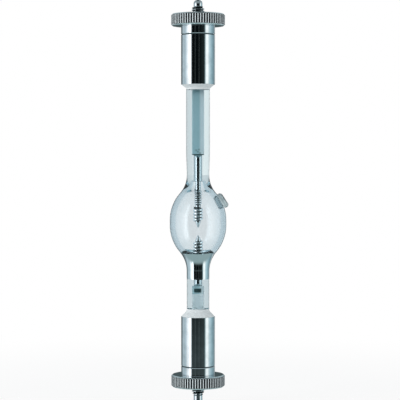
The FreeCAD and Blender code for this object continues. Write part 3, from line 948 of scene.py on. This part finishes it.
# %% [markdown]
# Exhaust button
#
# The bulb was pumped through a small tube that was then melted off. What is left is a thick round
# cushion of quartz on the bulb's shoulder, with a shallow dimple in its face. It is one piece with the
# bulb, so the two skins are united.

# %% Envelope with its button
DIMPLE_RADIUS = 1.5 * MM
DIMPLE_DEPTH = 0.3 * MM
BUTTON_COLUMNS = 72
BUTTON_UNEVEN = 0.04  # in mm, and only inwards


def leaning(grid, centre, axis):
    """Moves a grid that was turned about Z so that its axis points along the given one."""
    side = np.array([0.0, 1.0, 0.0])
    third = np.cross(side, axis)
    return centre + grid[..., :1] * third + grid[..., 1:2] * side + grid[..., 2:] * axis


def button_grid():
    half = BUTTON_THICKNESS / 2
    flat = BUTTON_RADIUS - half
    ball = (DIMPLE_RADIUS**2 + DIMPLE_DEPTH**2) / (2 * DIMPLE_DEPTH)
    bottom = half - DIMPLE_DEPTH
    outline = chain(
        straight((0.0, -half), (flat, -half), 6),
        bow((flat, 0.0), (flat, -half), (flat + half, 0.0), 10)[1:],
        bow((flat, 0.0), (flat + half, 0.0), (flat, half), 10)[1:],
        bow((0.0, bottom + ball), (DIMPLE_RADIUS, half), (0.0, bottom), 8),
    )
    grid = turned(outline, BUTTON_COLUMNS)
    uneven = ripple(grid, 1.3 * MM, 5) * BUTTON_UNEVEN * MM
    uneven = uneven - uneven.max()
    return leaning(grid * (1 + uneven[..., None] / BUTTON_RADIUS), BUTTON_CENTRE, BUTTON_AXIS)


def united(name, first, second):
    """The skin round two closed meshes that overlap."""
    base, other = shown(name + "_a", first), shown(name + "_b", second)
    join = base.modifiers.new("join", "BOOLEAN")
    join.operation, join.solver, join.object = "UNION", "EXACT", other
    bpy.context.view_layer.update()
    ready = base.evaluated_get(bpy.context.evaluated_depsgraph_get())
    mesh = bpy.data.meshes.new_from_object(ready)
    for thing in (base, other):
        bpy.data.objects.remove(thing)
    return mesh


outer = united("envelope", skin("outer", turned(outer_outline)), skin("button", button_grid()))
inner = skin("hollow", turned(hollow_outline))
inner.flip_normals()
form = bmesh.new()
form.from_mesh(outer)
form.from_mesh(inner)
form.to_mesh(outer)
form.free()
outer.name = "quartz_bulb"
piece("quartz_bulb", shaded(outer, 40.0), quartz, ["quartz_envelope"])

# %% [markdown]
# Reflector coating
#
# The film keeps the cold end of the bulb warm. It follows the lower neck exactly, and its edges were
# brushed on by hand, so they wander a little. Its inner face lies a hair inside the quartz, so that
# from within the glass the film is met first.

# %% Coating on the lower neck
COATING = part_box("reflector_coating")
FILM = 0.04 * MM
BITE = 0.01 * MM
COATING_ROWS = 60
LOW_WANDER = 0.1 * MM
HIGH_WANDER = 0.16 * MM


def lower_radius(height):
    """Radius of the envelope's outside below the belly, by going along its outline."""
    order = np.argsort(outer_outline[:, 1], kind="stable")
    return np.interp(height, outer_outline[order, 1], outer_outline[order, 0])


def coating_grid():
    share = np.linspace(0, 1, COATING_ROWS)
    share = chain(share, share[::-1])
    outside = np.repeat([True, False], COATING_ROWS)
    angle = round_angles()
    wander = np.stack([np.cos(angle), np.sin(angle), 0 * angle], -1) * 4 * MM
    low = COATING[0].z + LOW_WANDER * (1 + ripple(wander, 6 * MM, 11)) / 2
    high = COATING[1].z - HIGH_WANDER * (1 + ripple(wander, 5 * MM, 12)) / 2
    height = low[None] + (high - low)[None] * share[:, None]
    edge = np.clip(np.minimum(share, 1 - share) * 40, 0, 1)[:, None]
    radius = lower_radius(height) + np.where(outside[:, None], FILM * edge, -BITE)
    return np.stack([radius * np.cos(angle), radius * np.sin(angle), height], -1)


film = skin("neck_coating", coating_grid(), True)
piece("neck_coating", film, coating_finish, ["reflector_coating"])

# %% [markdown]
# Electrodes
#
# Each electrode is a drawn tungsten rod with a blunt cone at its tip. Its far end is ground flat on one
# side and welded to the foil. The cross-section there is the round one cut off at the foil's plane,
# which the grid does by not letting y go below a height that falls away where the flat ends.

# %% Electrode rods
TIP_FLAT = 0.12 * MM
FOIL_LAP = 2.5 * MM
END_VALUES = {
    "upper": (False, True),
    "reach": (43.45 * MM, 62.55 * MM),
    "tip": (1.5 * MM, 1.8 * MM),
    "foil_end": (27.75 * MM, 40.0 * MM),
    "shank_turns": (2.4, 7.4),
    "stem": (LOWER_STEM, UPPER_STEM),
    "slope": (math.radians(46.4), math.radians(36.0)),
    "fillet": (1.6 * MM, 1.0 * MM),
    "thread": (5.3 * MM, 5.47 * MM),
    "taper": (1.33 * MM, 0.62 * MM),
    "point": (1.3 * MM, 0.9 * MM),
    "seed": (21, 31),
}
ENDS = {}
for side, name in enumerate(("lower", "upper")):
    ENDS[name] = {key: pair[side] for key, pair in END_VALUES.items()}


def both_ends(label, grid_of, finish, node, closed_rows=False, sharp=35.0, body="lamp"):
    """The same piece at the lower and the upper end; {} in the body's name stands for the end's name."""
    for name, end in ENDS.items():
        mesh = skin(f"{name}_{label}", placed(grid_of(end), end["upper"]), closed_rows, sharp)
        piece(f"{name}_{label}", mesh, finish, [f"{name}_{node}"], body.format(name))


def rod_grid(end):
    foot = end["foil_end"] - FOIL_LAP
    neck = end["reach"] - end["tip"]
    outline = chain(
        [(0.0, foot), (ROD * 0.9, foot), (ROD, foot + 0.08 * MM)],
        straight((ROD, foot + 0.2 * MM), (ROD, end["foil_end"] + 0.6 * MM), 16),
        straight((ROD, end["foil_end"] + 0.7 * MM), (ROD, neck - 0.1 * MM), 20),
        straight((ROD, neck), (TIP_FLAT * 1.6, end["reach"] - 0.06 * MM), 12),
        [(TIP_FLAT * 0.9, end["reach"]), (0.0, end["reach"])],
    )
    grid = turned(outline, SMALL_ROUND)
    past_flat = np.clip((outline[:, 1] - end["foil_end"]) / (0.5 * MM), 0, 1)
    grid[..., 1] = np.maximum(grid[..., 1], -ROD * past_flat[:, None])
    return grid


both_ends("electrode_rod", rod_grid, tungsten, "electrode", sharp=50.0)

# %% [markdown]
# Windings
#
# A coarse winding behind each tip and a finer one on the shank carry heat away. Each is a round wire on
# a helix: the centre line is (R cos t, R sin t, pitch t / turn), and the wire's circle is drawn with the
# outward direction and the one across the wire. The cut ends are rounded off.

# %% Wire windings
TIP_PITCH = 0.93 * MM
TIP_TURNS = 4.2
SHANK_PITCH = 0.65 * MM
WINDING_SPACE = 0.3 * MM
WINDING_CLEARANCE = 0.02 * MM
WIRE_SIDES = 20
STEPS_PER_TURN = 56


def wound(wire_size, pitch, turns, start):
    """A wire wound on the rod, from its lower end up, and ending half a wire below the start height."""
    radius = ROD + WINDING_CLEARANCE + wire_size / 2
    foot = start - pitch * turns - wire_size / 2
    per_turn = math.hypot(math.tau * radius, pitch)
    length = per_turn * turns
    cap = wire_size / 2 * np.sin(np.linspace(0, math.pi / 2, 7)[:-1])
    middle = np.linspace(wire_size / 2, length - wire_size / 2, int(STEPS_PER_TURN * turns))
    along = np.concatenate([wire_size / 2 - cap[::-1], middle, length - wire_size / 2 + cap])
    along = np.unique(np.concatenate([[0.0], along, [length]]))
    turn = along / per_turn * math.tau
    from_end = np.minimum(np.minimum(along, length - along), wire_size / 2)
    thick = np.sqrt(np.maximum((wire_size / 2) ** 2 - (wire_size / 2 - from_end) ** 2, 0))
    zero = 0 * turn
    centre = np.stack([radius * np.cos(turn), radius * np.sin(turn), foot + pitch * turn / math.tau], -1)
    outward = np.stack([np.cos(turn), np.sin(turn), zero], -1)
    forward = np.stack([-radius * np.sin(turn), radius * np.cos(turn), zero + pitch / math.tau], -1)
    forward /= np.linalg.norm(forward, axis=1)[:, None]
    sideways = np.cross(forward, outward)
    angle = round_angles(WIRE_SIDES)[None, :, None]
    ring = np.cos(angle) * outward[:, None] + np.sin(angle) * sideways[:, None]
    return centre[:, None] + ring * thick[:, None, None]


for name, end in ENDS.items():
    tip_start = end["reach"] - end["tip"]
    shank_start = tip_start - TIP_PITCH * TIP_TURNS - TIP_WIRE_SIZE - WINDING_SPACE
    tip_grid = wound(TIP_WIRE_SIZE, TIP_PITCH, TIP_TURNS, tip_start)
    shank_grid = wound(SHANK_WIRE_SIZE, SHANK_PITCH, end["shank_turns"], shank_start)
    for part, grid, finish in (("tip", tip_grid, coarse_wire), ("shank", shank_grid, fine_wire)):
        mesh = skin(f"{name}_{part}_winding", placed(grid, end["upper"]), sharp=60.0)
        piece(f"{name}_{part}_winding", mesh, finish, [f"{name}_{part}_coil"])

# %% [markdown]
# Foils
#
# The seal works because the foil is very thin and feathered at its edges. It lies flat against the rods
# where it is welded and bellies a little towards the viewer between them, where the collapsing quartz
# pressed it. Its cross-section is a flat ellipse carried along the stem, and each weld is a small dent.

# %% Foils
FOIL_WIDTH = 2.65 * MM
FOIL_THICKNESS = 0.05 * MM
FOIL_OUTER_END = 13.45 * MM
FOIL_BELLY = 0.05 * MM
WELD_DENT = 0.012 * MM
WELD_RADIUS = 0.16 * MM


def foil_grid(end):
    rows, columns = 260, 96
    share = np.linspace(0, 1, rows)[:, None]
    angle = round_angles(columns)[None]
    length = end["foil_end"] - FOIL_OUTER_END
    height = FOIL_OUTER_END + length * share
    closing = np.sqrt(np.clip(np.minimum(share, 1 - share) * rows / 2, 0, 1))
    across = FOIL_WIDTH / 2 * np.cos(angle) * (0.94 + 0.06 * closing)
    thick = FOIL_THICKNESS / 2 * np.sin(angle) * closing
    free = np.clip((height - FOIL_OUTER_END - FOIL_LAP) / (2 * MM), 0, 1)
    free = free * np.clip((end["foil_end"] - FOIL_LAP - height) / (2 * MM), 0, 1)
    free = free * free * (3 - 2 * free)
    bulge = FOIL_BELLY * free * (1 - (across / (FOIL_WIDTH / 2)) ** 2)
    depth = -FOIL_THICKNESS / 2 - thick - bulge
    for x, up in WELDS:
        away = np.hypot(across - x * MM, end["foil_end"] - up * MM - height)
        depth = depth + WELD_DENT * np.exp(-((away / WELD_RADIUS) ** 2)) * (np.sin(angle) > 0)
    return np.stack(np.broadcast_arrays(across, depth, height), -1)


both_ends("seal_foil", foil_grid, molybdenum, "foil", sharp=60.0)

# %% [markdown]
# Cement
#
# White cement fills the gap between stem and sleeve and was wiped to a cone with a wet tool. It is a
# turned outline with a hand-made unevenness, and it bites a hair into the stem so that no light shows
# between the two.

# %% Cement cones
SLEEVE_RIM = COLLAR_LENGTH + 15.4 * MM
STEM_END = SLEEVE_RIM - 9.8 * MM
BASE_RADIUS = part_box("lower_base_sleeve")[1].x
SLEEVE_BORE = BASE_RADIUS - 0.5 * MM
CEMENT_LIP = 0.1 * MM
CEMENT_LUMPS = 0.03
CEMENT_CRUMBS = 0.012


def cement_grid(end):
    """The cone rises from the sleeve's lip to the stem, and an arc rounds the corner between them."""
    steep, fillet, stem = end["slope"], end["fillet"], end["stem"]
    lip = np.array([BASE_RADIUS - CEMENT_LIP, SLEEVE_RIM])
    corner = np.array([stem, SLEEVE_RIM + (lip[0] - stem) * math.tan(steep)])
    tangent = fillet * math.tan((math.pi / 2 - steep) / 2)
    start = corner + np.array([math.cos(steep), -math.sin(steep)]) * tangent
    run_out = corner + np.array([0.0, tangent])
    outline = chain(
        straight((stem - BITE, STEM_END), (stem - BITE, run_out[1]), 30),
        bow(run_out + np.array([fillet, 0.0]), run_out, start, 12),
        straight(start, lip, 16)[1:],
        [(SLEEVE_BORE + 0.05 * MM, SLEEVE_RIM), (SLEEVE_BORE, SLEEVE_RIM - 0.05 * MM)],
        [(SLEEVE_BORE, STEM_END + 0.02 * MM), (SLEEVE_BORE - 0.02 * MM, STEM_END)],
    )
    grid = turned(outline)
    lump = ripple(grid, 1.6 * MM, end["seed"]) * CEMENT_LUMPS
    lump = lump + ripple(grid, 0.45 * MM, end["seed"] + 1) * CEMENT_CRUMBS
    radius = outline[:, 0]
    free = np.clip((radius - stem) / FADE, 0, 1) * np.clip((lip[0] - radius) / FADE, 0, 1)
    free = free * (outline[:, 1] > SLEEVE_RIM)
    grid[..., 2] += lump * MM * free[:, None]
    return grid


both_ends("cement_cone", cement_grid, cement_finish, "cement", True)

# %% [markdown]
# Base sleeves, caps and studs
#
# The sleeve is a plated tube. The cap is turned from one bar: a collar that stops against the sleeve, a
# spigot inside it and the threaded stud. The thread is a helical groove: the surface goes in by a
# trapezoid wave of the height less the share of a turn, and the wave fades where the thread runs out.

# %% Sleeves
SEAM_BREAK = 0.1 * MM
COLLAR_EDGE = 0.05 * MM


def sleeve_grid(_):
    """Both sleeves are the same, so nothing of the end is used."""
    corners = [
        (SLEEVE_BORE, COLLAR_LENGTH, 0.02 * MM),
        (BASE_RADIUS - SEAM_BREAK, COLLAR_LENGTH, 0.03 * MM),
        (BASE_RADIUS, COLLAR_LENGTH + SEAM_BREAK, 0.03 * MM),
        (BASE_RADIUS, SLEEVE_RIM, 0.08 * MM),
        (SLEEVE_BORE, SLEEVE_RIM, 0.03 * MM),
    ]
    return turned(rounded(corners))


both_ends("sleeve", sleeve_grid, nickel, "base_sleeve", True)

# %% Caps with threaded studs
SPIGOT_LENGTH = 2.2 * MM
SEAM_DEPTH = 0.2 * MM
SEAM_LENGTH = 0.34 * MM
LEAD_BORE = 0.65 * MM
THREAD_PITCH = 0.7 * MM
THREAD_DEPTH = 0.4 * MM
THREAD_ROWS = 220
THREAD_COLUMNS = 96


def groove(height, angle):
    """Depth of the thread for a height and an angle, from 0 on a crest to 1 in a root."""
    phase = (height / THREAD_PITCH - angle / math.tau) % 1.0
    from_crest = np.minimum(phase, 1 - phase) * 2
    return np.clip((from_crest - 0.16) / 0.6, 0, 1)


def cap_grid(end):
    thread_end = -end["thread"]
    taper_end = thread_end - end["taper"]
    point_end = taper_end - end["point"]
    corners = [
        (LEAD_BORE, point_end, 0.02 * MM),
        (LEAD_BORE, COLLAR_LENGTH + SPIGOT_LENGTH, 0.02 * MM),
        (SLEEVE_BORE, COLLAR_LENGTH + SPIGOT_LENGTH, 0.05 * MM),
        (SLEEVE_BORE, COLLAR_LENGTH, 0.02 * MM),
        (BASE_RADIUS - SEAM_DEPTH, COLLAR_LENGTH, 0.03 * MM),
        (BASE_RADIUS, COLLAR_LENGTH - SEAM_LENGTH, COLLAR_EDGE),
        (BASE_RADIUS, 0.0, 0.08 * MM),
        (STUD + 0.3 * MM, 0.0, 0.0),
        (STUD_POINT, point_end, 0.1 * MM),
    ]
    inside = rounded(corners)
    to_stud = len(inside) // len(corners) * (len(corners) - 1)
    shank = chain(
        straight((STUD, -0.02 * MM), (STUD, thread_end), THREAD_ROWS),
        straight((STUD, thread_end), (STUD_POINT, taper_end), 40)[1:],
        straight((STUD_POINT, taper_end), (STUD_POINT, point_end + 0.2 * MM), 8)[1:],
    )
    outline = chain(inside[:to_stud], shank, inside[to_stud:])
    grid = turned(outline, THREAD_COLUMNS)
    height = outline[:, 1]
    on_stud = (height < 0) & (outline[:, 0] > STUD_POINT - 0.01 * MM) & (height > point_end + 0.3 * MM)
    fade = np.clip(-height / (0.9 * THREAD_PITCH), 0, 1)
    fade = fade * np.clip((outline[:, 0] - STUD_POINT) / FADE, 0, 1) * on_stud
    depth = THREAD_DEPTH * groove(height[:, None], round_angles(THREAD_COLUMNS)[None]) * fade[:, None]
    shrink = 1 - depth / outline[:, :1]
    grid[..., :2] *= shrink[..., None]
    return grid


both_ends("cap_and_stud", cap_grid, nickel, "base_cap", True, 60.0)

# %% [markdown]
# Solder
#
# The lead is sealed into the stud's end with solder that was drawn out to a round nib. It froze as it
# flowed, so it is not quite round.

# %% Solder nibs
NIB_RADIUS = 0.72 * MM
NIB_LENGTH = 0.8 * MM
DOME_HEIGHT = 0.95 * MM


def solder_grid(end):
    """A dome arc from the point's edge in to the nib, a short straight and a half round end."""
    foot = -(end["thread"] + end["taper"] + end["point"])
    step_in = STUD_POINT - NIB_RADIUS
    dome = (step_in**2 + DOME_HEIGHT**2) / (2 * step_in)
    shoulder = foot - DOME_HEIGHT
    nib = shoulder - NIB_LENGTH + NIB_RADIUS
    outline = chain(
        [(0.0, foot + 0.05 * MM), (STUD_POINT * 0.98, foot + 0.05 * MM)],
        bow((STUD_POINT - dome, foot), (STUD_POINT, foot), (NIB_RADIUS, shoulder), 14),
        straight((NIB_RADIUS, shoulder), (NIB_RADIUS, nib), 4)[1:],
        bow((0.0, nib), (NIB_RADIUS, nib), (0.0, nib - NIB_RADIUS), 12)[1:],
    )
    grid = turned(outline, SMALL_ROUND)
    lump = ripple(grid, 1.4 * MM, end["seed"] + 3) * 0.05 * MM
    free = np.clip((foot - outline[:, 1]) / FADE, 0, 1)
    grid[..., :2] *= (1 + np.minimum(lump, 0.01 * MM) * free[:, None] / STUD_POINT)[..., None]
    return grid


both_ends("solder_nib", solder_grid, solder_finish, "solder", sharp=50.0)

# %% [markdown]
# Knurled nuts
#
# The rim has straight grooves of V shape for the fingers and a chamfer at each face that runs past the
# grooves' roots. A solid that is both turned and cut all round is easy in polar form: at each height and
# angle, the radius is the smaller of the turned outline's and the tooth's.

# %% Nuts
NUT_BORE = 2.05 * MM
BORE_BREAK = 0.3 * MM
TEETH = 64
CREST_SHARE = 0.42
NUT_CHAMFER = 0.42 * MM
CREST_ROUNDING = 0.4
HALF_TOOTH = np.array([0.05, 0.12, 0.18, 0.23, 0.28, 0.34, 0.42])


def nut_grid(_):
    """The tooth's drop below the crest is a straight flank blended into the crest by a hyperbola."""
    steps = chain([-0.5], -HALF_TOOTH[::-1], HALF_TOOTH)
    share = np.abs(steps)
    slope = (share - CREST_SHARE / 2) / (0.5 - CREST_SHARE / 2)
    drop = (slope + np.hypot(slope, CREST_ROUNDING)) / 2
    drop = (drop - drop.min()) / (drop.max() - drop.min())
    tooth = np.tile(CREST - KNURL_DEPTH * drop, TEETH)
    angle = ((np.arange(TEETH)[:, None] + steps[None]) * math.tau / TEETH).ravel()
    bore_edge = NUT_BORE + BORE_BREAK
    inner = CREST - NUT_CHAMFER
    top, bottom = 0.0, -NUT_THICKNESS
    bore_side = [(bore_edge, bottom), (NUT_BORE, bottom + BORE_BREAK)]
    bore_side += [(NUT_BORE, top - BORE_BREAK), (bore_edge, top)]
    outline = chain(
        bore_side,
        [(bore_edge + 0.05 * MM, top), (inner - 0.12 * MM, top), (inner - 0.03 * MM, top)],
        straight((inner, top - 0.005 * MM), (CREST, top - NUT_CHAMFER), 12),
        [(CREST, top - NUT_CHAMFER - 0.04 * MM), (CREST, bottom + NUT_CHAMFER + 0.04 * MM)],
        straight((CREST, bottom + NUT_CHAMFER), (inner, bottom + 0.005 * MM), 12),
        [(inner - 0.03 * MM, bottom), (inner - 0.12 * MM, bottom), (bore_edge + 0.05 * MM, bottom)],
    )
    radius = np.minimum(outline[:, :1], tooth[None])
    height = np.repeat(outline[:, 1:], len(angle), 1)
    return np.stack([radius * np.cos(angle), radius * np.sin(angle), height], -1)


both_ends("thumb_nut", nut_grid, knurled, "nut", True, 28.0, "{}_nut")

# %% [markdown]
# Mercury and leads
#
# The mercury lies as a bright drop in the lower end of the hollow. A drop this small is nearly a ball,
# a little flattened where it sits. The lead rods are hidden in the bases, so their own nodes stay and
# only get their finish.

# %% Mercury drop and lead rods
bead_low, bead_high = (np.array(corner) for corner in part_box("mercury_bead"))
bead_centre, bead_radius = (bead_low + bead_high) / 2, (bead_high[0] - bead_low[0]) / 2
tilt = np.linspace(-math.pi / 2, math.pi / 2, 33)
bead = np.column_stack([np.cos(tilt), np.sin(tilt) - 0.06 * np.cos(tilt) ** 2]) * bead_radius
drop = skin("mercury_drop", turned(bead, SMALL_ROUND) + bead_centre)
piece("mercury_drop", drop, mercury_finish, ["mercury_bead"])

for name in ("lower_lead", "upper_lead"):
    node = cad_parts[name]
    node.data.materials.clear()
    node.data.materials.append(lead_rod)
    print(name, "keeps its own mesh")

# %% [markdown]
# Last checks
#
# The dressed lamp has to stay the size of the solids, so both boxes are written down and compared.

# %% Sizes
visual_box = [list(corner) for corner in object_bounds()]
growth = [round((v - c) / MM, 3) for a, b in zip(visual_box, CAD_BOX) for v, c in zip(a, b)]
print("visual box less CAD box in mm", growth)
